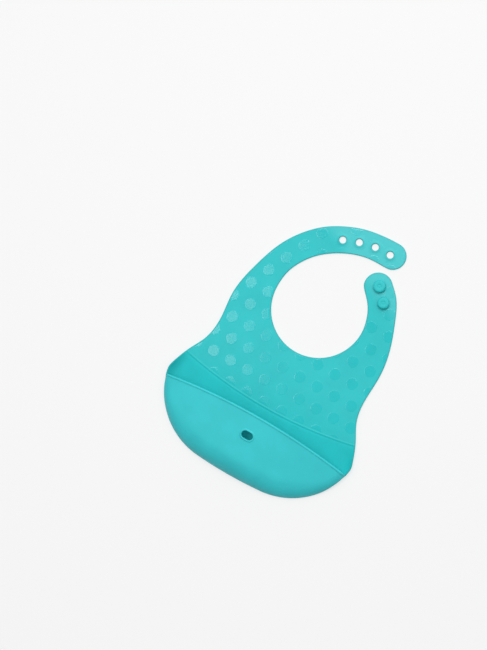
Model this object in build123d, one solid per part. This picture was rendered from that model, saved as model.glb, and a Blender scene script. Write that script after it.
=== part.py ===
"""Baby's silicone bib with a catch pocket, lying flat on its back.

Millimetres. The origin is at the centre of the bib's footprint on its back face,
+X to the right as the front is seen, +Y towards the neck, +Z out of the front.
The bib is one flexible moulding, so it is divided where it bends: each zone that
stays flat is a rigid piece, and each bend line is a hinge between two pieces.
"""
from build123d import *
import os
from math import cos, radians, sin

# ---- driving dimensions -----------------------------------------------------
SHEET = 2.0                      # thickness of the flat sheet
MID = SHEET / 2                  # height of every bend line in the sheet
BEND_GAP = 0.3                   # free space between a rounded end and its neighbour
NOSE_RADIUS = 0.95               # rounding of a zone's end at its bend line

BOTTOM_Y = -156.0                # lowest point of the pocket's edge
BOTTOM_END = (40.0, -154.4)      # where the shallow bottom arc meets the round corner
BOTTOM_HEADING = 4.6             # degrees that the edge rises there
CORNER_MIDDLE = (97.2, -125.3)
HIP = [(115.0, -87.0), (113.2, -76.0), (104.8, -55.0), (96.0, -38.0), (92.6, -25.0), (91.9, -8.0)]
RIGHT_ARM_OUTER = [(91.9, -8.0), (92.9, 20.0), (88.4, 50.0), (78.0, 80.0), (64.6, 105.0), (54.6, 115.0)]
SHORT_TIP_ARC = [(54.6, 115.0), (32.2, 115.4), (27.4, 100.8)]
RIGHT_ARM_INNER = [(27.4, 100.8), (33.5, 91.5), (43.2, 80.0), (49.7, 65.0), (51.9, 50.0)]
NECK_ARC = [(51.9, 50.0), (-1.2, -2.3), (-54.3, 51.0)]
LONG_STRAP_INNER = [(-54.3, 51.0), (-52.0, 70.0), (-45.3, 85.0), (-33.7, 100.0), (-21.4, 110.0),
                    (0.0, 121.0), (20.0, 125.8), (41.0, 126.1)]
LONG_TIP_ARC = [(41.0, 126.1), (55.6, 141.0), (41.0, 156.0)]
LONG_STRAP_OUTER = [(41.0, 156.0), (20.0, 155.2), (0.0, 152.0), (-20.0, 144.9), (-40.0, 133.7),
                    (-60.0, 114.8), (-73.5, 95.0), (-86.8, 60.0), (-94.2, 20.0), (-91.9, -8.0)]

# bend lines: a point on the line, and the direction that the strap runs in there
CREASE_Y = -66.0                 # lower chest folds up here, at the moulded crease
ROLL_Y = -25.0                   # upper chest rolls over here
LONG_LIFT = ((-73.0, 10.0), 100.0)
LONG_CURL = ((-70.0, 60.0), 116.0)
LONG_TIP_CURL = ((-45.0, 108.0), 44.0)
SHORT_LIFT = ((71.0, 10.0), 70.5)
SHORT_CURL = ((70.0, 52.0), 63.5)
PARTING_X = 10.0                 # the two arms are told apart by these two lines,
PARTING_Y = 123.0                # which cross only the neck opening and the gap above it

# catch pocket
WALL = 2.0                       # thickness of the pocket's front wall
RIM_Y = -83.5                    # middle of the mouth's edge
RIM_SIDE_Y = -96.0               # the mouth's edge at its two ends
RIM_SIDE_X = 116.0
RIM_HEIGHT = 25.0                # outside of the front wall at the middle of the rim
WALL_TILT = 7.4                  # the wall sinks this many degrees towards the bottom
WALL_RADIUS = 440.0              # curve of the wall from side to side
EDGE_TAPER = 35.0                # the pocket's edge leans in by this angle
EDGE_WALL = WALL / cos(radians(EDGE_TAPER))
POCKET_TOP_Y = -20.0             # blank's upper end, well above the rim
BLANK_HEIGHT = 27.0

# moving part of the front wall
PANEL_HALF = 79.0
PANEL_LOW_MID_Y = -141.0
PANEL_LOW_SIDE_Y = -126.0
PANEL_GAP = 1.0                  # free space round the moving panel
SIDE_WALL_X = 60.0               # the fixed wall is parted here into sides and bottom

# rim bead, closing slot
BEAD_WIDTH = 2.4
BEAD_RISE = 0.9
SLOT_Y = -107.5
SLOT_LENGTH, SLOT_WIDTH = 13.0, 8.0
COLLAR_WIDTH = 1.7
COLLAR_RISE = 0.8

# fastening
EYELETS = [(-16.3, 130.0), (1.0, 136.4), (19.0, 140.3), (37.4, 140.6)]
EYELET_BORE = 3.8
EYELET_OUTER = 5.8
EYELET_RISE = 0.5
STUDS = {"stud_upper": (44.4, 104.9, 6.9), "stud_lower": (57.1, 91.0, 6.6)}  # x, y, head radius
STUD_NECK_RADIUS = 3.7
STUD_NECK_TOP = 4.3
STUD_HEAD_TOP = 7.2
STUD_CROWN_RADIUS = 2.0          # rounding of the head's upper edge
STUD_UNDER_RADIUS = 0.6

FAR = 400.0                      # larger than the bib, for cutting blocks


def mirrored(points):
    """The same points on the other side, listed backwards."""
    return [(-x, y) for x, y in reversed(points)]


def closed_face(lines):
    """A flat face inside a closed run of lines and curves."""
    return make_face(Wire([edge for line in lines for edge in line.edges()]))


def lower_edge():
    """The pocket's outer edge from hip to hip, in arcs that flow into each other."""
    bottom = ThreePointArc((-BOTTOM_END[0], BOTTOM_END[1]), (0, BOTTOM_Y), BOTTOM_END)
    heading = (cos(radians(BOTTOM_HEADING)), sin(radians(BOTTOM_HEADING)))
    corner = TangentArc(BOTTOM_END, CORNER_MIDDLE, tangent=heading)
    side = TangentArc(CORNER_MIDDLE, HIP[0], tangent=corner % 1)
    return [bottom, corner, side, mirror(corner, Plane.YZ), mirror(side, Plane.YZ)]


def bib_face():
    """The whole flat outline, with the neck opening left open between the straps."""
    lines = lower_edge() + [
        Spline(HIP),
        Spline(RIGHT_ARM_OUTER),
        ThreePointArc(*SHORT_TIP_ARC),
        Spline(RIGHT_ARM_INNER),
        ThreePointArc(*NECK_ARC),
        Spline(LONG_STRAP_INNER),
        ThreePointArc(*LONG_TIP_ARC),
        Spline(LONG_STRAP_OUTER),
        Spline(mirrored(HIP)),
    ]
    return closed_face(lines)


def block(x_low, x_high, y_low, y_high, z_low=-FAR, z_high=FAR):
    """An upright cutting block between the given limits."""
    size = (x_high - x_low, y_high - y_low, z_high - z_low)
    middle = ((x_low + x_high) / 2, (y_low + y_high) / 2, (z_low + z_high) / 2)
    return Pos(*middle) * Box(*size)


def beyond(bend, offset=0.0):
    """Everything past a bend line, in the direction that the strap runs."""
    (x, y), heading = bend
    start = offset + FAR / 2
    middle = (x + start * cos(radians(heading)), y + start * sin(radians(heading)), 0)
    return Pos(*middle) * Rot(0, 0, heading) * Box(FAR, FAR, FAR)


def nosed(zone, point, heading):
    """Round the two long edges of a zone's end, which lies on its bend line."""
    along = Vector(cos(radians(heading)), sin(radians(heading)), 0)
    start = Vector(point[0], point[1], 0)
    on_line = []
    for edge in zone.edges():
        ends = [edge.position_at(0), edge.position_at(1)]
        if all(abs((end - start).dot(along)) < 0.01 for end in ends) and edge.length > 2 * SHEET:
            on_line.append(edge)
    return fillet(on_line, NOSE_RADIUS)


def sheet():
    """The flat sheet of the whole bib."""
    return extrude(bib_face(), SHEET)


def left_side():
    """Space that holds the long strap and its arm, but nothing of the short strap."""
    return block(-FAR, PARTING_X, -FAR, FAR) + block(PARTING_X, FAR, PARTING_Y, FAR)


def right_side():
    """Space that holds the short strap and its arm, but nothing of the long strap."""
    return block(PARTING_X, FAR, -FAR, PARTING_Y)


def chest_zones(flat):
    """The pocket's back and the two chest zones, up to the roots of the straps."""
    clearance = MID + BEND_GAP
    catcher = flat & block(-FAR, FAR, -FAR, CREASE_Y - clearance)
    lower = flat & block(-FAR, FAR, CREASE_Y - MID, ROLL_Y - clearance)
    upper = flat & block(-FAR, FAR, ROLL_Y - MID, FAR)
    upper = upper - (beyond(LONG_LIFT, -clearance) & left_side())
    upper = upper - (beyond(SHORT_LIFT, -clearance) & right_side())
    lower = nosed(lower, (0, CREASE_Y - MID), 90)
    upper = nosed(upper, (0, ROLL_Y - MID), 90)
    return {"catcher_back": catcher, "chest_lower": lower, "chest_upper": upper}


def strap_zones(flat):
    """The long strap in three zones and the short strap in two."""
    zones = {}
    chains = [
        (left_side(), [("long_strap_root", LONG_LIFT), ("long_strap_arch", LONG_CURL),
                       ("long_strap_end", LONG_TIP_CURL)]),
        (right_side(), [("short_strap_root", SHORT_LIFT), ("short_strap_end", SHORT_CURL)]),
    ]
    for arm, chain in chains:
        strap = flat & arm
        for index, (name, bend) in enumerate(chain):
            zone = strap & beyond(bend, -MID)
            if index + 1 < len(chain):
                zone = zone - beyond(chain[index + 1][1], -MID - BEND_GAP)
            (x, y), heading = bend
            end = (x - MID * cos(radians(heading)), y - MID * sin(radians(heading)))
            zones[name] = nosed(zone, end, heading)
    return zones


def pocket_blank(inset, face_offset):
    """Solid pocket body: its edge leans in, and its front is a tilted curve.

    inset moves the edge inwards, and face_offset moves the curved front outwards.
    """
    side_x, side_y = HIP[0]
    lines = lower_edge() + [
        Polyline((side_x, side_y), (side_x, POCKET_TOP_Y), (-side_x, POCKET_TOP_Y), (-side_x, side_y)),
    ]
    outline = closed_face(lines)
    if inset:
        outline = offset(outline, amount=-inset)
    body = extrude(Pos(0, 0, SHEET) * outline, BLANK_HEIGHT, taper=EDGE_TAPER)
    return body & front_curve(face_offset)


def front_curve(face_offset):
    """Long cylinder whose upper side is the front wall's outer face, moved outwards."""
    radius = WALL_RADIUS + face_offset
    centre_z = RIM_HEIGHT - WALL_RADIUS / cos(radians(WALL_TILT))
    return Pos(0, RIM_Y, centre_z) * Rot(WALL_TILT - 90, 0, 0) * Cylinder(radius, 2 * FAR)


def front_layer(inner_offset, outer_offset):
    """A layer that follows the front wall between two offsets from its outer face."""
    return front_curve(outer_offset) - front_curve(inner_offset)


def below_rim(setback):
    """All space on the pocket's side of the mouth's edge, moved down by setback."""
    left = (-RIM_SIDE_X, RIM_SIDE_Y - setback)
    right = (RIM_SIDE_X, RIM_SIDE_Y - setback)
    lines = [
        ThreePointArc(left, (0, RIM_Y - setback), right),
        Polyline(right, (RIM_SIDE_X, -FAR), (-RIM_SIDE_X, -FAR), left),
    ]
    return extrude(closed_face(lines), RIM_HEIGHT + SHEET + BEAD_RISE)


def panel_space(grow):
    """Space over the moving part of the front wall, grown on its free edges."""
    half = PANEL_HALF + grow
    lines = [
        ThreePointArc((-half, PANEL_LOW_SIDE_Y - grow), (0, PANEL_LOW_MID_Y - grow),
                      (half, PANEL_LOW_SIDE_Y - grow)),
        Polyline((half, PANEL_LOW_SIDE_Y - grow), (half, 0), (-half, 0),
                 (-half, PANEL_LOW_SIDE_Y - grow)),
    ]
    return extrude(closed_face(lines), FAR)


def slot_space(grow):
    """Upright oval through the front wall at the closing slot, grown all round."""
    oval = SlotOverall(SLOT_LENGTH + 2 * grow, SLOT_WIDTH + 2 * grow)
    return extrude(Pos(0, SLOT_Y, 0) * oval, FAR)


def pocket_pieces():
    """Front wall in its moving panel and fixed edge, with the rim bead and slot collar."""
    solid = pocket_blank(0, 0) - pocket_blank(EDGE_WALL, -WALL)
    above_sheet = block(-RIM_SIDE_X, RIM_SIDE_X, -FAR, FAR, SHEET, FAR)
    wall = solid & below_rim(0)
    rim_band = below_rim(0) - below_rim(BEAD_WIDTH)
    bead = front_layer(-WALL, BEAD_RISE) & rim_band & above_sheet
    moving = panel_space(0)
    panel = (wall & moving & below_rim(BEAD_WIDTH)) - slot_space(0)
    collar = front_layer(0, COLLAR_RISE) & (slot_space(COLLAR_WIDTH) - slot_space(0))
    fixed = wall - panel_space(PANEL_GAP)
    pieces = {
        "pocket_front": panel,
        "pocket_rim": bead & moving,
        "slot_collar": collar,
        "pocket_bottom": fixed & block(-SIDE_WALL_X, SIDE_WALL_X, -FAR, FAR),
        "pocket_side_left": fixed & block(-FAR, -SIDE_WALL_X, -FAR, FAR),
        "pocket_side_right": fixed & block(SIDE_WALL_X, FAR, -FAR, FAR),
    }
    return pieces


def eyelet(place):
    """Reinforced ring round one fastening hole."""
    ring = Cylinder(EYELET_OUTER, SHEET + EYELET_RISE) - Cylinder(EYELET_BORE, FAR)
    upper_edges = ring.edges().filter_by(GeomType.CIRCLE).group_by(Axis.Z)[-1]
    ring = fillet(upper_edges, EYELET_RISE / 2)
    return Pos(place[0], place[1], (SHEET + EYELET_RISE) / 2) * ring


def stud(x, y, head_radius):
    """Mushroom stud: a narrow neck under a wide rounded head."""
    neck = Pos(0, 0, (SHEET + STUD_NECK_TOP) / 2) * Cylinder(STUD_NECK_RADIUS, STUD_NECK_TOP - SHEET)
    head_middle = (STUD_NECK_TOP + STUD_HEAD_TOP) / 2
    head = Pos(0, 0, head_middle) * Cylinder(head_radius, STUD_HEAD_TOP - STUD_NECK_TOP)
    rims = head.edges().filter_by(GeomType.CIRCLE).sort_by(Axis.Z)
    head = fillet(rims[-1], STUD_CROWN_RADIUS)
    under = head.edges().filter_by(GeomType.CIRCLE).sort_by(Axis.Z)[0]
    head = fillet(under, STUD_UNDER_RADIUS)
    return Pos(x, y, 0) * (neck + head)


def eyelet_seats(strap_end):
    """Cut the holes that the eyelet rings fill."""
    for x, y in EYELETS:
        strap_end = strap_end - Pos(x, y, 0) * Cylinder(EYELET_OUTER, FAR)
    return strap_end


def build():
    """Every node by name."""
    flat = sheet()
    nodes = {}
    nodes.update(chest_zones(flat))
    nodes.update(strap_zones(flat))
    nodes["long_strap_end"] = eyelet_seats(nodes["long_strap_end"])
    nodes.update(pocket_pieces())
    for number, place in enumerate(EYELETS, start=1):
        nodes[f"eyelet_{number}"] = eyelet(place)
    for name, (x, y, head_radius) in STUDS.items():
        nodes[name] = stud(x, y, head_radius)
    return nodes


os.makedirs("parts", exist_ok=True)
for node, shape in build().items():
    export_step(shape, f"parts/{node}.step")
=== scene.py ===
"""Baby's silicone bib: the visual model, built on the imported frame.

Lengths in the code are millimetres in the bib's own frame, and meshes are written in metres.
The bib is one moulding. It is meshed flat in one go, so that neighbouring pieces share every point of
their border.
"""

from math import atan2, ceil, cos, hypot, pi, radians, sin, sqrt, tan

import bpy
import numpy as np
from mathutils import Matrix, Vector
from mathutils.geometry import delaunay_2d_cdt
from mathutils.kdtree import KDTree


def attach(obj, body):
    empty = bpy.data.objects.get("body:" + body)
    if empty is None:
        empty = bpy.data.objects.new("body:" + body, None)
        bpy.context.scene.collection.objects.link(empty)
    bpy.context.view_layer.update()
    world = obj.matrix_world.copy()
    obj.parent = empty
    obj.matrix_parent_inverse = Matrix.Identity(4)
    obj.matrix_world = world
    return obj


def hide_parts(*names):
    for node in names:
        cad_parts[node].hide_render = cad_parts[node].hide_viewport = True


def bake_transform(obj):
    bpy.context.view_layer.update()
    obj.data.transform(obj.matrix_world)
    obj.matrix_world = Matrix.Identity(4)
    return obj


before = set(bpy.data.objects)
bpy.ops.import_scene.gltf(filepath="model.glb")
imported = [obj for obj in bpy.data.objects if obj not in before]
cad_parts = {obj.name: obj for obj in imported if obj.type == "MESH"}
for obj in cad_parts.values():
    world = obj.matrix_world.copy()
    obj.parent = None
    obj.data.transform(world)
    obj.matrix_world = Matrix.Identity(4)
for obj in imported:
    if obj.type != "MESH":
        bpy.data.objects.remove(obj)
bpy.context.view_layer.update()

MM = 0.001
ON_EDGE = 0.001          # this close to an edge, the front and back layers share a point

# ---- outline, as in the CAD model --------------------------------------------
BOTTOM_Y = -156.0
BOTTOM_END = (40.0, -154.4)
BOTTOM_HEADING = 4.6
CORNER_MIDDLE = (97.2, -125.3)
HIP = [(115.0, -87.0), (113.2, -76.0), (104.8, -55.0), (96.0, -38.0), (92.6, -25.0), (91.9, -8.0)]
RIGHT_ARM_OUTER = [(91.9, -8.0), (92.9, 20.0), (88.4, 50.0), (78.0, 80.0), (64.6, 105.0), (54.6, 115.0)]
SHORT_TIP_ARC = [(54.6, 115.0), (32.2, 115.4), (27.4, 100.8)]
RIGHT_ARM_INNER = [(27.4, 100.8), (33.5, 91.5), (43.2, 80.0), (49.7, 65.0), (51.9, 50.0)]
NECK_ARC = [(51.9, 50.0), (-1.2, -2.3), (-54.3, 51.0)]
LONG_STRAP_INNER = [(-54.3, 51.0), (-52.0, 70.0), (-45.3, 85.0), (-33.7, 100.0), (-21.4, 110.0),
                    (0.0, 121.0), (20.0, 125.8), (41.0, 126.1)]
LONG_TIP_ARC = [(41.0, 126.1), (55.6, 141.0), (41.0, 156.0)]
LONG_STRAP_OUTER = [(41.0, 156.0), (20.0, 155.2), (0.0, 152.0), (-20.0, 144.9), (-40.0, 133.7),
                    (-60.0, 114.8), (-73.5, 95.0), (-86.8, 60.0), (-94.2, 20.0), (-91.9, -8.0)]

# ---- sheet ---------------------------------------------------------------------
MID = 1.0                # height of the sheet's middle, and half its thickness
EDGE_STEPS = (0.0, 0.08, 0.3, 0.65, 1.0)   # rounded edge: distances inwards from the outline
SPACING = 1.6            # between points along the outline
HIP_LIFT = 4.5           # the sheet's edge curls up this far beside the mouth
HIP_CURL = 10.0          # over this width
HIP_RISE = (-132.0, -98.0)       # the curl grows over these heights
HIP_FALL = (-86.0, -48.0)        # and dies away over these
TUCK = 0.5               # the sheet's edge lies this far inside the pocket's skin
TUCK_FADE = (-98.0, -92.0)       # and not at all above these heights
CROWN = 2.0              # the chest stands up this far from the floor above the crease
CROWN_RISE = (-96.0, -52.0)      # it grows over these heights
CROWN_FALL = (-48.0, 30.0)       # and dies away over these
LAST_EDGE_STEP = 3.2     # the mesh follows the outline inwards this far
RING_SPACING = 0.9       # between points round an eyelet or the closing slot
SHEET_GRID = 3.0         # between loose points in the sheet
SHEET_AREA = ((-118, 118), (-158, 158))
GRID_CLEAR = 0.55        # share of the grid that loose points keep from every line
MERGE_DISTANCE = 0.0001
LINE_REACH, LINE_STEP = 116.0, 2.0     # the crease's and the straight cuts' points
CUT_REACH, CUT_POINTS = 30.0, 41       # those of a cut across a strap

# polished round patches
DOT_RADIUS = 6.6
DOT_SOFT = 0.4           # width of the small step round a patch
DOT_LINES = (0.4, 0.0, -0.4, -0.9)
DOT_RISE = 0.07
DOT_ROWS = range(-4, 8)            # counted from the patch at the pattern's origin
DOT_COLUMNS = range(-6, 7)
DOT_PITCH = (21.6, 21.4)
DOT_ORIGIN = (-16.0, -2.4)
DOT_LEAN = 0.018         # the pattern leans a little towards the long strap
DOT_MARGIN = 1.3         # a patch stops this far from the edge
DOT_FADE = 0.5           # width over which it runs out there
DOT_SHINE = 0.4          # share of that width after which it is polished
DOT_OUTSIDE = 0.6        # share of its radius that a patch's middle may lie outside the outline
DOT_BELOW = 0.3          # or below the crease
DOT_TO_FIXING = 13.0     # no patch's middle is nearer to an eyelet or a stud

# moulded crease across the chest
CREASE_MIDDLE_Y = -72.0
CREASE_END = (108.0, -60.0)
CREASE_LINES = (-2.3, -1.8, -1.35, -0.9, -0.4, 0.1, 0.6, 1.1, 1.6)
RIDGE_START, RIDGE_WIDTH, CREASE_RISE = -0.4, 2.0, 0.25
GROOVE_START, GROOVE_WIDTH, CREASE_SINK = -2.3, 1.9, 0.2
ABOVE_RIDGE = 2.2        # the patches start this far above the crease

# ---- pocket ----------------------------------------------------------------------
RIM_Y = -83.5
RIM_SIDE = (116.0, -93.0)
RIM_HEIGHT = 25.0
WALL_TILT = 7.4
ARCH_RADIUS = 440.0
SIDE_ROUND = 9.0         # the wall rounds over into the front within this distance of the outline
BOTTOM_ROUND = 21.0      # and more gently along the bottom
ROUND_FADE = (50.0, 105.0)       # the rounding changes between these distances from the middle
EDGE_LEAN = 0.02         # share of that rounding left out at its foot, so that it starts leaning in
FLATTEST = 1.0           # the front wall eases into the sheet where it would come nearer than this
SKIN_START = (0.98, 0.05)        # where the pocket's skin begins: inside the outline, above the floor
SKIN_LINES = (0.0, 0.017, 0.065, 0.14, 0.22, 0.4, 0.65, 1.0, 1.4, 1.9, 2.5, 3.2, 4.0, 5.0,
              6.2, 7.4, 8.5, 10.5)
SKIN_TOP_Y = -70.0       # the skin's lines follow the outline up to here
SKIN_GRID = 4.0
SKIN_AREA = ((-118, 118), (-158, -80))
RIM_LINES = (0.0, 0.08, 0.3, 0.65, 1.0, 1.4, 1.8, 2.2, 2.6, 3.0, 3.5, 4.2, 5.5)
RIM_PAST = 3.0           # the rim's lines run on this far past its ends
RIM_POINTS = 130
BEAD_WIDTH = 2.6
BEAD_RISE = 0.7
BEAD_FADE = (0.5, 5.0)   # the bead starts over these distances from the skin's edge
SLOT_Y = -107.5
SLOT_SIZE = (13.0, 8.0)
SLOT_REACH = (SLOT_SIZE[0] - SLOT_SIZE[1]) / 2      # from its middle to the middle of a round end
SLOT_END_POINTS = 16
SLOT_LINES = (0.0, 0.08, 0.3, 0.65, 1.0, 1.4, 1.8, 2.2, 2.8)
COLLAR_WIDTH = 1.9
COLLAR_RISE = 0.8

# ---- fastening -------------------------------------------------------------------
EYELETS = [(-16.3, 130.0), (1.0, 136.4), (19.0, 140.3), (37.4, 140.6)]
EYELET_BORE = 3.8
EYELET_LINES = (0.0, 0.08, 0.3, 0.65, 1.0, 1.5, 2.0, 2.5)
EYELET_WIDTH = 2.1
EYELET_RISE = 0.5
STUDS = {"stud_upper": (44.4, 104.9, 6.9), "stud_lower": (57.1, 91.0, 6.6)}   # x, y, head radius
STUD_SIDES = 72
# radius and height of a stud's points, up its flared neck and across the dimple in its top
STUD_NECK = [(0, 1.2), (5.2, 1.2), (5.0, 2.02), (4.5, 2.15), (4.05, 2.45), (3.75, 2.9), (3.7, 3.6),
             (3.75, 4.0), (4.1, 4.25), (4.8, 4.33)]
STUD_DIMPLE = [(2.6, 7.2), (2.2, 7.12), (1.9, 6.9), (1.6, 6.86), (1.3, 6.95), (0.8, 7.05), (0, 7.08)]
STUD_UNDERSIDE = 4.36
STUD_LIP, STUD_LIP_STEPS = 0.6, 4          # radius of the head's lower edge
STUD_TOP = 7.2
STUD_CROWN, STUD_CROWN_STEPS = 2.0, 9      # radius of the head's upper edge

# ---- pieces of the sheet: cuts as x, y and heading, and where each cut starts to count -----
CHEST_CUT_Y = -46.0
ARM_CUT_Y = -10.0
LONG_ROOT_CUT, LONG_ROOT_ABOVE = (-71.5, 35.0, 108.0), 20.0
LONG_MID_CUT, LONG_MID_ABOVE = (-57.0, 90.0, 75.0), 70.0
SHORT_CUT, SHORT_ABOVE = (70.5, 31.0, 67.0), 10.0
NECK_LOW_Y = 20.0        # below this height the arms part in the middle
PARTING_X = 10.0         # above it they part here
PARTING_Y = 123.0        # and everything above this is the long strap

# ---- silicone, lengths in metres -------------------------------------------------------
TEAL = (0.009, 0.552, 0.575)
POLISHED_TEAL = (0.008, 0.545, 0.570)
INNER_TEAL = (0.014, 0.550, 0.574)
# the pocket's red is raised to stand in for the sheen that its low specular level leaves out: painted
# sheen
POCKET_TEAL = (0.050, 0.635, 0.682)
SILICONE_IOR = 1.41
CLOUD_SCALE, CLOUD_DETAIL = 38.0, 5.0
CLOUD_RANGE = (0.3, 0.7)
TINT = 0.04              # the clouding makes the colour this share darker and lighter
SHADE_DARKEST = 0.62              # painted shade: the colour falls to this share where the painted shade is 1
SHEEN_WAY = (0.5, 1, 0)    # painted sheen: the straps' tips turn paler along this direction
SHEEN_RANGE = (0.108, 0.128)       # over this stretch of it
# how much paler the painted sheen makes the straps' tips and the studs
TIP_SHEEN, STUD_SHEEN = 0.043, 0.008
SMUDGE_SCALE, SMUDGE_DETAIL = 160.0, 6.0
LESS_ROUGH, MORE_ROUGH = 0.05, 0.07
GRAIN_SCALE, GRAIN_DETAIL = 2600.0, 3.0
GRAIN_HEIGHT = 0.00008

# painted shade: how much the colour is darkened, from 0 to 1, and over what width in millimetres
EDGE_SHADE, EDGE_SHADE_WIDTH = 0.6, 1.6
CORNER_SHADE, CORNER_SHADE_FADE = 0.5, (-114.0, -98.0)
MOUTH_SHADE_FADE = 4.0
SKIN_EDGE_SHADE, SKIN_SHADE_WIDTH, SKIN_SHADE_POWER = 0.3, 10.0, 1.5

# ---- camera ----------------------------------------------------------------------
VIEW_TURN = 29.15        # degrees that the bib is turned in the picture
VIEW_TILT = 8.0          # degrees that the camera leans towards the bib's right side
VIEW_AIM = (-66.1, -4.7, 0.0)
VIEW_DISTANCE = 3000.0
VIEW_HEIGHT = 715.0      # height of the picture at the bib
SENSOR_HEIGHT = 36.0
CLIP_END = 20.0          # metres

# ---- studio, in metres --------------------------------------------------------------
KEY_SIDE = (-0.15, 0.95, 1.5)       # the light is strongest from here
SKY_LOW, SKY_HIGH = 0.02, 0.795     # strength on the darkest and on the brightest side
SKY_FADE = (-0.25, 0.95)            # cosines of the angle to the key, from darkest to brightest
SOFTBOXES = [((-0.47, -0.06, 1.5), 0.46, 2.7), ((-0.15, 0.72, 1.45), 0.75, 9.5)]  # place, size, power
FLOOR_REACH = 4.0
FLOOR_BELOW = -0.0004               # clear of the sheet's back, so that the two share no plane
FLOOR_GREY = 0.3
FLOOR_ROUGHNESS = 0.9
FLOOR_SPECULAR = 0.1
FLOOR_GLOW = 0.643                  # the paper is mostly lit from below


# ---- curves ------------------------------------------------------------------------
def circle_centre(a, b, c):
    """Centre of the circle through three points."""
    (ax, ay), (bx, by), (cx, cy) = a, b, c
    double_area = 2 * (ax * (by - cy) + bx * (cy - ay) + cx * (ay - by))
    aa, bb, cc = ax * ax + ay * ay, bx * bx + by * by, cx * cx + cy * cy
    x = (aa * (by - cy) + bb * (cy - ay) + cc * (ay - by)) / double_area
    y = (aa * (cx - bx) + bb * (ax - cx) + cc * (bx - ax)) / double_area
    return np.array((x, y))


def turn_sign(a, b, c):
    """1 if the way from a over b to c turns left, and -1 if it turns right."""
    return 1 if (b[0] - a[0]) * (c[1] - b[1]) > (b[1] - a[1]) * (c[0] - b[0]) else -1


def arc(a, b, c):
    """Points on the arc from a over b to c, with its headings at a and c."""
    centre, sign = circle_centre(a, b, c), turn_sign(a, b, c)
    radius = hypot(*(np.array(a) - centre))
    start = atan2(a[1] - centre[1], a[0] - centre[0])
    end = atan2(c[1] - centre[1], c[0] - centre[0])
    sweep = sign * ((sign * (end - start)) % (2 * pi))
    angle = np.linspace(start, start + sweep, max(6, ceil(abs(sweep) * radius)))
    points = centre + radius * np.stack((np.cos(angle), np.sin(angle)), axis=1)
    headings = [sign * np.array((-sin(t), cos(t))) for t in (start, start + sweep)]
    return points, headings[0], headings[1]


def tangent_arc(a, c, heading):
    """The arc that leaves a at the given heading and ends at c."""
    a, c = np.array(a), np.array(c)
    side = np.array((-heading[1], heading[0]))
    chord = c - a
    radius = chord.dot(chord) / (2 * chord.dot(side))
    centre = a + side * radius
    half = (a + c) / 2 - centre
    middle = centre + half * abs(radius) / hypot(*half)
    return arc(tuple(a), tuple(middle), tuple(c))


def smooth_curve(points, leave=None, arrive=None):
    """A cubic spline through the points, with the given headings at its ends."""
    p = np.array(points, float)
    n, h = len(p), np.linalg.norm(np.diff(p, axis=0), axis=1)
    rows, values = np.zeros((n, n)), np.zeros((n, 2))
    for i in range(1, n - 1):
        rows[i, i - 1 : i + 2] = h[i], 2 * (h[i - 1] + h[i]), h[i - 1]
        values[i] = 3 * (h[i] * (p[i] - p[i - 1]) / h[i - 1] + h[i - 1] * (p[i + 1] - p[i]) / h[i])
    for row, near, span, heading in ((0, 1, 0, leave), (n - 1, n - 2, n - 2, arrive)):
        rows[row, row] = 1 if heading is not None else 2
        rows[row, near] = 0 if heading is not None else 1
        values[row] = heading if heading is not None else 3 * (p[span + 1] - p[span]) / h[span]
    slope = np.linalg.solve(rows, values)
    run = [p[:1]]
    for i in range(n - 1):
        t = np.linspace(0, 1, max(3, ceil(h[i])))[1:, None]
        run.append((2 * t**3 - 3 * t**2 + 1) * p[i] + (t**3 - 2 * t**2 + t) * h[i] * slope[i]
                   + (3 * t**2 - 2 * t**3) * p[i + 1] + (t**3 - t**2) * h[i] * slope[i + 1])
    return np.concatenate(run)


def even_spacing(points, spacing):
    """The same closed line with its points evenly spaced."""
    closed = np.vstack((points, points[:1]))
    along = np.concatenate(([0.0], np.cumsum(np.linalg.norm(np.diff(closed, axis=0), axis=1))))
    wanted = np.linspace(0, along[-1], int(along[-1] / spacing) + 1)[:-1]
    return np.stack([np.interp(wanted, along, closed[:, k]) for k in (0, 1)], axis=1)


def flipped(points):
    """The same points on the other side, listed backwards."""
    return np.array(points)[::-1] * (-1, 1)


def bib_outline():
    """The whole outline as one closed line, anticlockwise."""
    left_end = (-BOTTOM_END[0], BOTTOM_END[1])
    bottom, _, _ = arc(left_end, (0, BOTTOM_Y), BOTTOM_END)
    heading = (cos(radians(BOTTOM_HEADING)), sin(radians(BOTTOM_HEADING)))
    corner, _, at_corner = tangent_arc(BOTTOM_END, CORNER_MIDDLE, heading)
    side, _, at_hip = tangent_arc(CORNER_MIDDLE, HIP[0], at_corner)
    short_tip, short_start, short_end = arc(*SHORT_TIP_ARC)
    neck, neck_start, neck_end = arc(*NECK_ARC)
    long_tip, long_start, long_end = arc(*LONG_TIP_ARC)
    runs = [
        bottom, corner, side,
        smooth_curve(HIP + RIGHT_ARM_OUTER[1:], at_hip, short_start),
        short_tip,
        smooth_curve(RIGHT_ARM_INNER, short_end, neck_start),
        neck,
        smooth_curve(LONG_STRAP_INNER, neck_end, long_start),
        long_tip,
        smooth_curve(LONG_STRAP_OUTER + [tuple(p) for p in flipped(HIP)[1:]], long_end,
                     at_hip * (1, -1)),
        flipped(side), flipped(corner),
    ]
    return even_spacing(np.concatenate([run[:-1] for run in runs]), SPACING)


def inward(line):
    """Unit normals of a closed anticlockwise line, pointing inside."""
    along = np.roll(line, -1, axis=0) - np.roll(line, 1, axis=0)
    normal = np.stack((-along[:, 1], along[:, 0]), axis=1)
    return normal / np.linalg.norm(normal, axis=1, keepdims=True)


def circle(x, y, radius, spacing=1.4):
    """Points round a circle."""
    angle = np.arange(0, 2 * pi, 2 * pi / ceil(2 * pi * radius / spacing))
    return np.stack((x + radius * np.cos(angle), y + radius * np.sin(angle)), axis=1)


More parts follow.
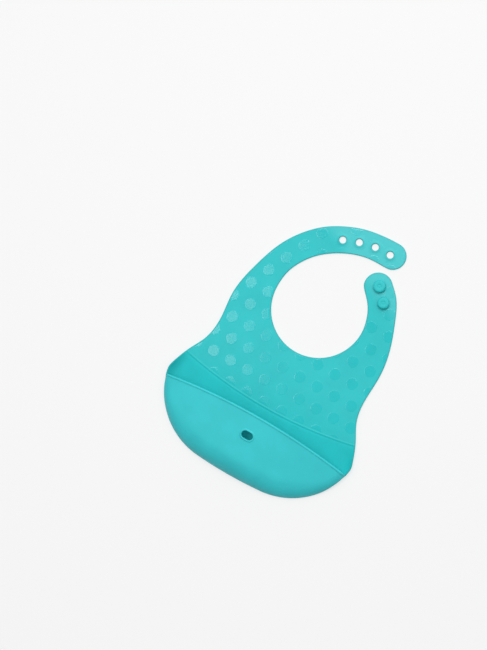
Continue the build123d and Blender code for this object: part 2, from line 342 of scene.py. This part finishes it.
def ramp(value, low, high):
    """0 below low, 1 above high, and a smooth rise between."""
    t = np.clip((value - low) / (high - low), 0, 1)
    return t * t * (3 - 2 * t)


def fade(value, low, high):
    """1 below low, 0 above high, and a smooth fall between."""
    return ramp(-value, -high, -low)


def dome(t):
    """A rounded bump over t from 0 to 1."""
    return np.sqrt(np.clip(4 * t * (1 - t), 0, 1)) * ((t > 0) & (t < 1))


def soft_bump(t):
    """A bump over t from 0 to 1 that runs out flat."""
    return np.sin(pi * np.clip(t, 0, 1)) ** 2


def rounded(distance):
    """Half thickness of a rounded edge at a distance inwards from its tip."""
    return np.sqrt(np.clip(1 - (1 - np.clip(distance, 0, 1)) ** 2, 0, 1))


# ---- flat measures -------------------------------------------------------------------
OUTLINE = bib_outline()
OUTLINE_NORMAL = inward(OUTLINE)


def sheet_outline():
    """The outline of the sheet alone, which is tucked into the pocket's skin low down."""
    tuck = TUCK * fade(OUTLINE[:, 1], *TUCK_FADE)
    return OUTLINE + OUTLINE_NORMAL * tuck[:, None]


SHEET_OUTLINE = sheet_outline()


def distance_to(line, points):
    """Distance of each point from a closed line."""
    a, b = line, np.roll(line, -1, axis=0)
    best = np.full(len(points), np.inf)
    for start, step in zip(a, b - a):
        t = np.clip(((points - start) @ step) / step.dot(step), 0, 1)
        gap = points - start - t[:, None] * step
        best = np.minimum(best, gap[:, 0] ** 2 + gap[:, 1] ** 2)
    return np.sqrt(best)


def inside(line, points):
    """True for each point inside a closed line."""
    found = np.zeros(len(points), bool)
    x, y = points[:, 0], points[:, 1]
    for (ax, ay), (bx, by) in zip(line, np.roll(line, -1, axis=0)):
        if ay != by:
            crosses = ((ay > y) != (by > y)) & (x < (bx - ax) * (y - ay) / (by - ay) + ax)
            found ^= crosses
    return found


def dot_places():
    """Middles of the polished patches."""
    places = []
    for row in DOT_ROWS:
        y = DOT_ORIGIN[1] + row * DOT_PITCH[1]
        shift = DOT_PITCH[0] / 2 * (row % 2) - DOT_LEAN * (y - DOT_ORIGIN[1])
        for column in DOT_COLUMNS:
            places.append((DOT_ORIGIN[0] + column * DOT_PITCH[0] + shift, y))
    places = np.array(places)
    near = distance_to(SHEET_OUTLINE, places) < DOT_RADIUS * DOT_OUTSIDE
    shown = inside(SHEET_OUTLINE, places) | near
    shown &= places[:, 1] > crease_y(places[:, 0]) - DOT_RADIUS * DOT_BELOW
    fixings = np.array(EYELETS + [(x, y) for x, y, _ in STUDS.values()])
    gaps = np.linalg.norm(places[:, None] - fixings[None], axis=2).min(axis=1)
    return places[shown & (gaps > DOT_TO_FIXING)]


def crease_y(x):
    """Height of the moulded crease across the chest."""
    return CREASE_MIDDLE_Y + (CREASE_END[1] - CREASE_MIDDLE_Y) * (x / CREASE_END[0]) ** 2


def rim_circle():
    """Centre and radius of the mouth's edge, seen from above."""
    left = (-RIM_SIDE[0], RIM_SIDE[1])
    centre = circle_centre(left, (0, RIM_Y), RIM_SIDE)
    return centre, RIM_Y - centre[1]


RIM_CENTRE, RIM_RADIUS = rim_circle()
DOTS = dot_places()


def below_rim(points):
    """Distance down from the mouth's edge, negative above it."""
    return RIM_RADIUS - np.linalg.norm(points - RIM_CENTRE, axis=1)


def from_slot(points):
    """Distance out from the closing slot's edge."""
    x = np.abs(points[:, 0]) - SLOT_REACH
    return np.hypot(np.maximum(x, 0), points[:, 1] - SLOT_Y) - SLOT_SIZE[1] / 2


def from_eyelets(points):
    """Distance out from the nearest eyelet's bore."""
    gaps = np.linalg.norm(points[:, None] - np.array(EYELETS)[None], axis=2)
    return gaps.min(axis=1) - EYELET_BORE


def in_dot(points):
    """Distance inwards from the edge of the nearest patch."""
    gaps = np.linalg.norm(points[:, None] - DOTS[None], axis=2)
    return DOT_RADIUS - gaps.min(axis=1)


# ---- heights -----------------------------------------------------------------------------
def edge_lift(y):
    """How far the outline curls up beside the mouth."""
    return HIP_LIFT * ramp(y, *HIP_RISE) * fade(y, *HIP_FALL)


def sheet_middle(points):
    """Height of the middle of the sheet."""
    y = points[:, 1]
    near = np.clip(1 - distance_to(OUTLINE, points) / HIP_CURL, 0, 1)
    crown = CROWN * ramp(y, *CROWN_RISE) * fade(y, *CROWN_FALL)
    return MID + edge_lift(y) * near**2 + crown


def quarter_round(t):
    """Rises from 0 to 1 like a quarter of a circle that has lost its steepest part."""
    full = 1 - EDGE_LEAN
    rise = np.sqrt(1 - (full * (1 - np.clip(t, 0, 1))) ** 2)
    foot = sqrt(1 - full**2)
    return (rise - foot) / (1 - foot)


def edge_round(x):
    """Width of the rounding between the pocket's edge and its front."""
    return SIDE_ROUND + (BOTTOM_ROUND - SIDE_ROUND) * fade(np.abs(x), *ROUND_FADE)


def pocket_middle(points):
    """Height of the middle of the pocket's skin."""
    x, y = points[:, 0], points[:, 1]
    inset = distance_to(OUTLINE, points)
    front = RIM_HEIGHT - MID + (y - RIM_Y) * tan(radians(WALL_TILT)) - x * x / (2 * ARCH_RADIUS)
    sheet = MID + edge_lift(y) * np.clip(1 - inset / HIP_CURL, 0, 1) ** 2
    above = front - sheet
    front = sheet + (above + np.sqrt(above**2 + 4 * FLATTEST**2)) / 2
    foot = SKIN_START[1] + edge_lift(y)
    return foot + (front - foot) * quarter_round((inset - SKIN_START[0]) / edge_round(x))


def surface_normals(height, points, step=0.05):
    """Unit normals of a height field."""
    slope = []
    for shift in ((step, 0), (0, step)):
        shift = np.array(shift)
        slope.append((height(points + shift) - height(points - shift)) / (2 * step))
    normal = np.stack((-slope[0], -slope[1], np.ones(len(points))), axis=1)
    return normal / np.linalg.norm(normal, axis=1, keepdims=True)


# ---- meshing -------------------------------------------------------------------------------
def triangulated(rings, lines, spacing, area, keep):
    """Triangles over rings, open lines and a grid of loose points, where keep says yes."""
    points, edges = [], []
    for run, closed in [(ring, True) for ring in rings] + [(line, False) for line in lines]:
        first = len(points)
        points.extend(run)
        edges.extend((first + i, first + i + 1) for i in range(len(run) - 1))
        if closed:
            edges.append((first + len(run) - 1, first))
    tree = KDTree(len(points))
    for i, (x, y) in enumerate(points):
        tree.insert((x, y, 0), i)
    tree.balance()
    (x_low, x_high), (y_low, y_high) = area
    row_height = spacing * sin(radians(60))
    for row in range(int((y_high - y_low) / row_height)):
        y = y_low + row * row_height
        for column in range(int((x_high - x_low) / spacing)):
            x = x_low + (column + 0.5 * (row % 2)) * spacing
            if tree.find((x, y, 0))[2] > GRID_CLEAR * spacing:
                points.append((x, y))
    flat, _, faces, _, _, _ = delaunay_2d_cdt([Vector(p) for p in points], edges, [], 0, MERGE_DISTANCE)
    flat = np.array([tuple(p) for p in flat])
    faces = np.array([tuple(f) for f in faces])
    return flat, faces[keep(flat[faces].mean(axis=1))]


def new_piece(name, vertices, polygons, materials):
    """A smooth-shaded object from points in millimetres."""
    mesh = bpy.data.meshes.new(name)
    mesh.from_pydata([tuple(MM * c for c in v) for v in vertices], [], polygons)
    for material in materials:
        mesh.materials.append(material)
    mesh.polygons.foreach_set("use_smooth", [True] * len(polygons))
    remember_rest(mesh)
    mesh.update()
    piece = bpy.data.objects.new(name, mesh)
    bpy.context.collection.objects.link(piece)
    return piece


def remember_rest(mesh):
    """Store where each point lies at rest, so that the surface pattern stays with the silicone."""
    layer = mesh.attributes.new("rest", "FLOAT_VECTOR", "POINT")
    places = np.empty(len(mesh.vertices) * 3, dtype=np.float32)
    mesh.vertices.foreach_get("co", places)
    layer.data.foreach_set("vector", places)


def skin_object(name, flat, faces, middle, normal, front, back, painted_shade, materials, finish):
    """A skin with a front and a back layer over the same triangles, which meet along the edge."""
    place = {}
    vertices, painted_shades = [], []
    for v in np.unique(faces):
        base = np.array((*flat[v], middle[v]))
        if front[v] < ON_EDGE and back[v] < ON_EDGE:
            layers = [base]
        else:
            layers = [base + normal[v] * front[v], base - normal[v] * back[v]]
        place[v] = (len(vertices), len(vertices) + len(layers) - 1)
        vertices.extend(layers)
        painted_shades.extend([painted_shade[v]] * len(layers))
    polygons, slots = [], []
    for face, front_slot in zip(faces, finish):
        polygons.append([place[v][0] for v in face])
        polygons.append([place[v][1] for v in face[::-1]])
        slots.extend((int(front_slot), 0))
    piece = new_piece(name, vertices, polygons, materials)
    piece.data.polygons.foreach_set("material_index", slots)
    # painted shade, stored at each point for the materials to darken the colour by
    layer = piece.data.attributes.new("painted_shade", "FLOAT", "POINT")
    layer.data.foreach_set("value", painted_shades)
    piece.data.update()
    return piece


def lathed(name, x, y, profile, sides, materials):
    """A closed turned shape from (radius, height) points, the first and last on the axis."""
    vertices, polygons = [], []
    rings = []
    for radius, z in profile:
        if radius == 0:
            rings.append([len(vertices)])
            vertices.append((x, y, z))
        else:
            rings.append(list(range(len(vertices), len(vertices) + sides)))
            for k in range(sides):
                turn = 2 * pi * k / sides
                vertices.append((x + radius * cos(turn), y + radius * sin(turn), z))
    for low, high in zip(rings, rings[1:]):
        for k in range(sides):
            m = (k + 1) % sides
            if len(low) == 1:
                polygons.append((low[0], high[m], high[k]))
            elif len(high) == 1:
                polygons.append((low[k], low[m], high[0]))
            else:
                polygons.append((low[k], low[m], high[m], high[k]))
    return new_piece(name, vertices, polygons, materials)


# ---- materials ---------------------------------------------------------------------------
def attribute(tree, name):
    """A node that reads what the mesh stores under a name."""
    node = tree.nodes.new("ShaderNodeAttribute")
    node.attribute_name = name
    return node


def noise(tree, place, scale, detail):
    """Cloudy noise that stays with the silicone."""
    node = tree.nodes.new("ShaderNodeTexNoise")
    node.inputs["Scale"].default_value = scale
    node.inputs["Detail"].default_value = detail
    tree.links.new(place, node.inputs["Vector"])
    return node.outputs["Fac"]


def remapped(tree, value, from_range, to_range, interpolation):
    """A value carried over from one range to another."""
    node = tree.nodes.new("ShaderNodeMapRange")
    node.interpolation_type = interpolation
    node.inputs["From Min"].default_value, node.inputs["From Max"].default_value = from_range
    node.inputs["To Min"].default_value, node.inputs["To Max"].default_value = to_range
    tree.links.new(value, node.inputs["Value"])
    return node.outputs["Result"]


def along_way(tree, place, way):
    """How far a place lies along a direction."""
    node = tree.nodes.new("ShaderNodeVectorMath")
    node.operation = "DOT_PRODUCT"
    node.inputs[1].default_value = way
    tree.links.new(place, node.inputs[0])
    return node.outputs["Value"]


def clouded(tree, place, colour):
    """The colour with faint lighter and darker clouds."""
    tones = tree.nodes.new("ShaderNodeValToRGB")
    low, high = tones.color_ramp.elements
    low.position, high.position = CLOUD_RANGE
    low.color = (*[c * (1 - TINT) for c in colour], 1)
    high.color = (*[c * (1 + TINT) for c in colour], 1)
    clouds = noise(tree, place, CLOUD_SCALE, CLOUD_DETAIL)
    tree.links.new(clouds, tones.inputs["Fac"])
    return tones.outputs["Color"]


def mixed(tree, amount, base, colour):
    """A colour that turns from the base into a fixed one by the amount."""
    node = tree.nodes.new("ShaderNodeMix")
    node.data_type = "RGBA"
    factor, first, second, result = node.inputs[0], node.inputs[6], node.inputs[7], node.outputs[2]
    second.default_value = (*colour, 1)
    tree.links.new(amount, factor)
    tree.links.new(base, first)
    return result


def silicone(name, colour, roughness, grain, specular=0.5, painted_sheen=TIP_SHEEN):
    """Moulded silicone: faint clouding, uneven gloss and a fine mould grain, with painted sheen at the
    straps' tips and painted shade where the mesh stores it.
    """
    material = bpy.data.materials.new(name)
    material.use_nodes = True
    tree = material.node_tree
    shader = tree.nodes["Principled BSDF"]
    shader.inputs["Specular IOR Level"].default_value = specular
    shader.inputs["IOR"].default_value = SILICONE_IOR
    place = attribute(tree, "rest").outputs["Vector"]

    # painted sheen: the colour turns paler towards the straps' tips
    sheen_at_tip = remapped(tree, along_way(tree, place, SHEEN_WAY), SHEEN_RANGE, (0, 1), "SMOOTHSTEP")
    tone = mixed(tree, sheen_at_tip, clouded(tree, place, colour), [c + painted_sheen for c in colour])
    # painted shade: the colour darkens by the shade stored in the mesh
    painted_shade = attribute(tree, "painted_shade").outputs["Fac"]
    tone = mixed(tree, painted_shade, tone, [c * SHADE_DARKEST for c in colour])
    tree.links.new(tone, shader.inputs["Base Color"])

    smudges = noise(tree, place, SMUDGE_SCALE, SMUDGE_DETAIL)
    gloss = remapped(tree, smudges, (0, 1), (roughness - LESS_ROUGH, roughness + MORE_ROUGH), "LINEAR")
    tree.links.new(gloss, shader.inputs["Roughness"])

    relief = tree.nodes.new("ShaderNodeBump")
    relief.inputs["Strength"].default_value = grain
    relief.inputs["Distance"].default_value = GRAIN_HEIGHT
    tree.links.new(noise(tree, place, GRAIN_SCALE, GRAIN_DETAIL), relief.inputs["Height"])
    tree.links.new(relief.outputs["Normal"], shader.inputs["Normal"])
    return material


def floor_material():
    """Matte pale studio paper, mostly lit from below so that shadows on it stay faint."""
    material = bpy.data.materials.new("studio_paper")
    material.use_nodes = True
    shader = material.node_tree.nodes["Principled BSDF"]
    shader.inputs["Base Color"].default_value = (FLOOR_GREY, FLOOR_GREY, FLOOR_GREY, 1)
    shader.inputs["Emission Color"].default_value = (1, 1, 1, 1)
    shader.inputs["Emission Strength"].default_value = FLOOR_GLOW
    shader.inputs["Roughness"].default_value = FLOOR_ROUGHNESS
    shader.inputs["Specular IOR Level"].default_value = FLOOR_SPECULAR
    return material


PANEL = silicone("panel_silicone", TEAL, roughness=0.5, grain=0.5)
POLISHED = silicone("polished_silicone", POLISHED_TEAL, roughness=0.14, grain=0.05)
INNER = silicone("inner_silicone", INNER_TEAL, roughness=0.55, grain=0.3, specular=0.24)
POCKET = silicone("pocket_silicone", POCKET_TEAL, roughness=0.4, grain=0.35, specular=0.22)
STUD = silicone("stud_silicone", TEAL, roughness=0.5, grain=0.5, painted_sheen=STUD_SHEEN)


# ---- sheet pieces --------------------------------------------------------------------------
def cut_line(x, y, heading):
    """A short straight cut across a strap, at right angles to its heading."""
    t = np.linspace(-CUT_REACH, CUT_REACH, CUT_POINTS)
    return np.stack((x - sin(radians(heading)) * t, y + cos(radians(heading)) * t), axis=1)


def ahead(points, cut):
    """Distance past a cut, in its heading."""
    x, y, heading = cut
    return (points[:, 0] - x) * cos(radians(heading)) + (points[:, 1] - y) * sin(radians(heading))


def zone_of(points):
    """Which piece of the sheet each point is on."""
    x, y = points[:, 0], points[:, 1]
    right = ((x > 0) & (y < NECK_LOW_Y)) | ((x > PARTING_X) & (y < PARTING_Y))
    zone = np.full(len(points), "back_panel", dtype=object)
    zone[y > CHEST_CUT_Y] = "chest_panel"
    right_arm = (y > ARM_CUT_Y) & right
    zone[right_arm] = "right_arm"
    zone[right_arm & (ahead(points, SHORT_CUT) > 0) & (y > SHORT_ABOVE)] = "short_strap_tip"
    left_arm = (y > ARM_CUT_Y) & ~right
    zone[left_arm] = "left_arm"
    past_root = left_arm & (ahead(points, LONG_ROOT_CUT) > 0) & (y > LONG_ROOT_ABOVE)
    zone[past_root] = "long_strap_middle"
    past_middle = past_root & (ahead(points, LONG_MID_CUT) > 0) & (y > LONG_MID_ABOVE)
    zone[past_middle] = "long_strap_tip"
    return zone


def sheet_front(points, inset):
    """Half thickness of the sheet towards the front, with its raised details."""
    half = MID * rounded(inset)
    above_crease = points[:, 1] - crease_y(points[:, 0])
    dots = DOT_RISE * np.clip(in_dot(points) / DOT_SOFT, 0, 1)
    dots *= np.clip((inset - DOT_MARGIN) / DOT_FADE, 0, 1)
    dots *= np.clip((above_crease - ABOVE_RIDGE) / DOT_FADE, 0, 1)
    ridge = CREASE_RISE * soft_bump((above_crease - RIDGE_START) / RIDGE_WIDTH)
    groove = CREASE_SINK * soft_bump((above_crease - GROOVE_START) / GROOVE_WIDTH)
    ring = EYELET_RISE * dome(np.clip(from_eyelets(points) / EYELET_WIDTH, 0, 1))
    return half + dots + (ridge - groove) * rounded(inset) + ring


def sheet_finish(points, inset):
    """The front's finish at each point: 0 the panel's, 1 a polished patch's, 2 the pocket's inside."""
    above_crease = points[:, 1] - crease_y(points[:, 0])
    finish = np.zeros(len(points), int)
    polished = (in_dot(points) > DOT_SOFT / 2) & (inset > DOT_MARGIN + DOT_SHINE * DOT_FADE)
    finish[polished & (above_crease > ABOVE_RIDGE + DOT_SHINE * DOT_FADE)] = 1
    finish[above_crease < RIDGE_START] = 2
    return finish


def sheet_painted_shade(points, edge):
    """Painted shade on the sheet: darkest along its edges and in the left corner of the mouth."""
    in_mouth = ramp(crease_y(points[:, 0]) - points[:, 1], 0.0, MOUTH_SHADE_FADE)
    in_corner = in_mouth * fade(points[:, 0], *CORNER_SHADE_FADE)
    at_edge = np.clip(1 - edge / EDGE_SHADE_WIDTH, 0, 1)
    return np.maximum(EDGE_SHADE * at_edge, CORNER_SHADE * in_corner)


def sheet_rings():
    """Closed lines that the sheet's mesh follows: its edge, its patches and its eyelets."""
    normal = inward(SHEET_OUTLINE)
    insets = EDGE_STEPS + (DOT_MARGIN, DOT_MARGIN + DOT_FADE, LAST_EDGE_STEP)
    rings = [SHEET_OUTLINE + normal * d for d in insets]
    for x, y in DOTS:
        rings.extend(circle(x, y, DOT_RADIUS + d) for d in DOT_LINES)
    for x, y in EYELETS:
        rings.extend(circle(x, y, EYELET_BORE + d, RING_SPACING) for d in EYELET_LINES)
    return rings


def sheet_lines():
    """Open lines that the sheet's mesh follows: its crease and the cuts between its pieces."""
    x = np.arange(-LINE_REACH, LINE_REACH + 0.1, LINE_STEP)
    rises = CREASE_LINES + (ABOVE_RIDGE, ABOVE_RIDGE + DOT_FADE)
    lines = [np.stack((x, crease_y(x) + rise), axis=1) for rise in rises]
    lines.extend(np.stack((x, np.full(len(x), y)), axis=1) for y in (CHEST_CUT_Y, ARM_CUT_Y))
    lines.extend(cut_line(*cut) for cut in (LONG_ROOT_CUT, LONG_MID_CUT, SHORT_CUT))
    lines.append(np.array([(0.0, ARM_CUT_Y), (0.0, 0.0)]))
    return lines


def in_sheet(points):
    """True for each point inside the outline and outside the eyelets."""
    return inside(SHEET_OUTLINE, points) & (from_eyelets(points) > 0)


def sheet_pieces():
    """Every piece of the flat sheet, by name."""
    flat, faces = triangulated(sheet_rings(), sheet_lines(), SHEET_GRID, SHEET_AREA, in_sheet)
    edge = np.minimum(distance_to(SHEET_OUTLINE, flat), from_eyelets(flat))
    edge[edge < ON_EDGE] = 0
    middle = sheet_middle(flat)
    normals = surface_normals(sheet_middle, flat)
    front = sheet_front(flat, edge)
    back = MID * rounded(edge)
    painted_shade = sheet_painted_shade(flat, edge)
    centres = flat[faces].mean(axis=1)
    zones = zone_of(centres)
    finish = sheet_finish(centres, distance_to(SHEET_OUTLINE, centres))
    pieces = {}
    for name in dict.fromkeys(zones):
        chosen = zones == name
        pieces[name] = skin_object(name, flat, faces[chosen], middle, normals, front, back,
                                   painted_shade, [PANEL, POLISHED, INNER], finish[chosen])
    return pieces


# ---- pocket ----------------------------------------------------------------------------------
def skin_lines():
    """Open lines that the pocket's mesh follows: its edge and the mouth's rim."""
    low = OUTLINE[:, 1] < SKIN_TOP_Y
    first = int(np.argmax(low & ~np.roll(low, 1)))
    line = np.roll(OUTLINE, -first, axis=0)[: int(low.sum())]
    normal = np.roll(OUTLINE_NORMAL, -first, axis=0)[: int(low.sum())]
    lines = [line + normal * (SKIN_START[0] + d) for d in SKIN_LINES]
    reach = atan2(RIM_SIDE[0] + RIM_PAST, RIM_RADIUS)
    angle = np.linspace(-reach, reach, RIM_POINTS)
    directions = np.stack((np.sin(angle), np.cos(angle)), axis=1)
    lines.extend(RIM_CENTRE + (RIM_RADIUS - d) * directions for d in RIM_LINES)
    return lines


def slot_ring(grow):
    """The closing slot's outline, grown all round."""
    radius = SLOT_SIZE[1] / 2 + grow
    turn = np.linspace(-pi / 2, pi / 2, SLOT_END_POINTS)
    x, y = SLOT_REACH + radius * np.cos(turn), radius * np.sin(turn)
    ends = [np.stack((side * x, SLOT_Y + side * y), axis=1) for side in (1, -1)]
    return even_spacing(np.concatenate(ends), RING_SPACING)


def in_skin(points):
    """True for each point of the pocket's skin: below the rim and outside the closing slot."""
    hidden = distance_to(OUTLINE, points) < SKIN_START[0]
    return inside(OUTLINE, points) & ~hidden & (below_rim(points) > 0) & (from_slot(points) > 0)


def pocket_skin():
    """The pocket's front wall with its rounded edge, rim bead and slotted lip."""
    rings = [slot_ring(d) for d in SLOT_LINES]
    flat, faces = triangulated(rings, skin_lines(), SKIN_GRID, SKIN_AREA, in_skin)
    middle = pocket_middle(flat)
    rise = middle - SKIN_START[1] - edge_lift(flat[:, 1])
    inset = np.hypot(distance_to(OUTLINE, flat) - SKIN_START[0], rise)
    rim, slot = below_rim(flat), from_slot(flat)
    edge = np.minimum(np.minimum(inset, rim), slot)
    edge[edge < ON_EDGE] = 0
    half = MID * rounded(edge)
    bead = BEAD_RISE * dome(np.clip(rim / BEAD_WIDTH, 0, 1)) * ramp(inset, *BEAD_FADE)
    collar = COLLAR_RISE * dome(np.clip(slot / COLLAR_WIDTH, 0, 1))
    normals = surface_normals(pocket_middle, flat)
    # painted shade along the pocket's rounded edge
    painted_shade = SKIN_EDGE_SHADE * np.clip(1 - inset / SKIN_SHADE_WIDTH, 0, 1) ** SKIN_SHADE_POWER
    return skin_object("pocket_skin", flat, faces, middle, normals,
                       half + bead + collar, half, painted_shade, [POCKET], np.zeros(len(faces)))


# ---- studs -----------------------------------------------------------------------------------
def stud(name, x, y, head_radius):
    """A snap stud: flared neck, undercut head with a rounded crown and a small dimple."""
    lip_radius = head_radius - STUD_LIP
    crown_radius = head_radius - STUD_CROWN
    profile = STUD_NECK + [(lip_radius, STUD_UNDERSIDE)]
    for k in range(1, STUD_LIP_STEPS + 1):
        turn = radians(90 * k / STUD_LIP_STEPS - 90)
        profile.append((lip_radius + STUD_LIP * cos(turn), STUD_UNDERSIDE + STUD_LIP * (1 + sin(turn))))
    for k in range(STUD_CROWN_STEPS):
        turn = radians(90 * k / STUD_CROWN_STEPS)
        profile.append((crown_radius + STUD_CROWN * cos(turn), STUD_TOP - STUD_CROWN * (1 - sin(turn))))
    profile += [(crown_radius - STUD_LIP, STUD_TOP)] + STUD_DIMPLE
    return lathed(name, x, y, profile, STUD_SIDES, [STUD])


# ---- build -----------------------------------------------------------------------------------
def blend_over(piece):
    """Bake a piece's placement into its mesh."""
    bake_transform(piece)


def build_sheet():
    """The sheet's pieces, with the CAD parts that they stand for hidden."""
    pieces = sheet_pieces()
    plan = {
        "back_panel": ("catcher", "chest_lower", (0, -66), 90, 4.5, 9.0,
                       ["catcher_back"], "panel_silicone"),
        "chest_panel": ("chest_lower", "chest_upper", (0, -25), 90, 11.0, 13.0,
                        ["chest_lower", "chest_upper"], "panel_silicone"),
        "left_arm": ("chest_upper", "long_strap_root", (-73, 10), 100, 7.0, 13.0,
                     ["long_strap_root"], "strap_silicone"),
        "long_strap_middle": ("long_strap_root", "long_strap_arch", (-70, 60), 116, 12.0, 13.0,
                              ["long_strap_arch"], "strap_silicone"),
        "long_strap_tip": ("long_strap_arch", "long_strap_end", (-45, 108), 44, 12.0, 14.0,
                           ["long_strap_end", "eyelet_1", "eyelet_2", "eyelet_3", "eyelet_4"],
                           "strap_silicone"),
        "right_arm": ("chest_upper", "short_strap_root", (71, 10), 70.5, 6.0, 12.0,
                      ["short_strap_root"], "strap_silicone"),
        "short_strap_tip": ("short_strap_root", "short_strap_end", (70, 52), 63.5, 11.0, 13.0,
                            ["short_strap_end"], "strap_silicone"),
    }
    for name, (body_a, body_b, point, heading, before, after, nodes, slot) in plan.items():
        piece = pieces[name]
        blend_over(piece)
        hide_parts(*nodes)


def build_pocket():
    """The pocket's skin, with the CAD pocket parts hidden."""
    piece = pocket_skin()
    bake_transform(piece)
    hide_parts("pocket_front", "pocket_rim", "slot_collar", "pocket_bottom",
                "pocket_side_left", "pocket_side_right")


def build_studs():
    """Both snap studs."""
    for name, (x, y, head_radius) in STUDS.items():
        piece = stud("snap_" + name, x, y, head_radius)
        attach(piece, "short_strap_end")
        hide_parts(name)


# ---- studio ------------------------------------------------------------------------------------
def studio_floor():
    """A plain pale floor."""
    mesh = bpy.data.meshes.new("floor")
    corners = [(-1, -1), (1, -1), (1, 1), (-1, 1)]
    mesh.from_pydata([(FLOOR_REACH * x, FLOOR_REACH * y, FLOOR_BELOW) for x, y in corners], [],
                     [(0, 1, 2, 3)])
    mesh.materials.append(floor_material())
    floor = bpy.data.objects.new("floor", mesh)
    bpy.context.collection.objects.link(floor)


def studio_sky():
    """Even light from above that fades towards the horizon, stronger from the key's side."""
    world = bpy.data.worlds.new("studio")
    world.use_nodes = True
    tree = world.node_tree
    backdrop = tree.nodes["Background"]
    backdrop.inputs["Color"].default_value = (1, 1, 1, 1)
    direction = tree.nodes.new("ShaderNodeTexCoord")
    towards_key = along_way(tree, direction.outputs["Generated"], Vector(KEY_SIDE).normalized())
    strength = remapped(tree, towards_key, SKY_FADE, (SKY_LOW, SKY_HIGH), "SMOOTHSTEP")
    tree.links.new(strength, backdrop.inputs["Strength"])
    bpy.context.scene.world = world


def softboxes():
    """Large soft lights over the bib's left side and over its straps."""
    for number, (place, size, power) in enumerate(SOFTBOXES, start=1):
        data = bpy.data.lights.new(f"softbox_{number}", "AREA")
        data.shape = "SQUARE"
        data.size = size
        data.energy = power
        light = bpy.data.objects.new(data.name, data)
        bpy.context.collection.objects.link(light)
        light.location = place
        light.rotation_euler = (-Vector(place)).to_track_quat("-Z", "Y").to_euler()


def photo_camera():
    """Nearly straight down on the bib, which is turned in the picture."""
    data = bpy.data.cameras.new("camera")
    camera = bpy.data.objects.new("camera", data)
    bpy.context.collection.objects.link(camera)
    data.sensor_fit = "VERTICAL"
    data.sensor_height = SENSOR_HEIGHT
    data.lens = SENSOR_HEIGHT * VIEW_DISTANCE / VIEW_HEIGHT
    data.clip_end = CLIP_END
    tilt, turn = radians(VIEW_TILT), radians(VIEW_TURN)
    away = np.array((sin(tilt), 0, cos(tilt)))
    place = (np.array(VIEW_AIM) + away * VIEW_DISTANCE) * MM
    camera.location = place
    across = Vector((cos(turn), sin(turn), 0))
    look = -Vector(away)
    across = (across - look * across.dot(look)).normalized()
    up = across.cross(look)
    rotation = np.array((across, up, -look)).T
    camera.rotation_euler = Matrix(rotation.tolist()).to_euler()
    bpy.context.scene.camera = camera


bpy.context.scene.view_settings.view_transform = "Standard"
build_sheet()
build_pocket()
build_studs()
studio_floor()
studio_sky()
softboxes()
photo_camera()
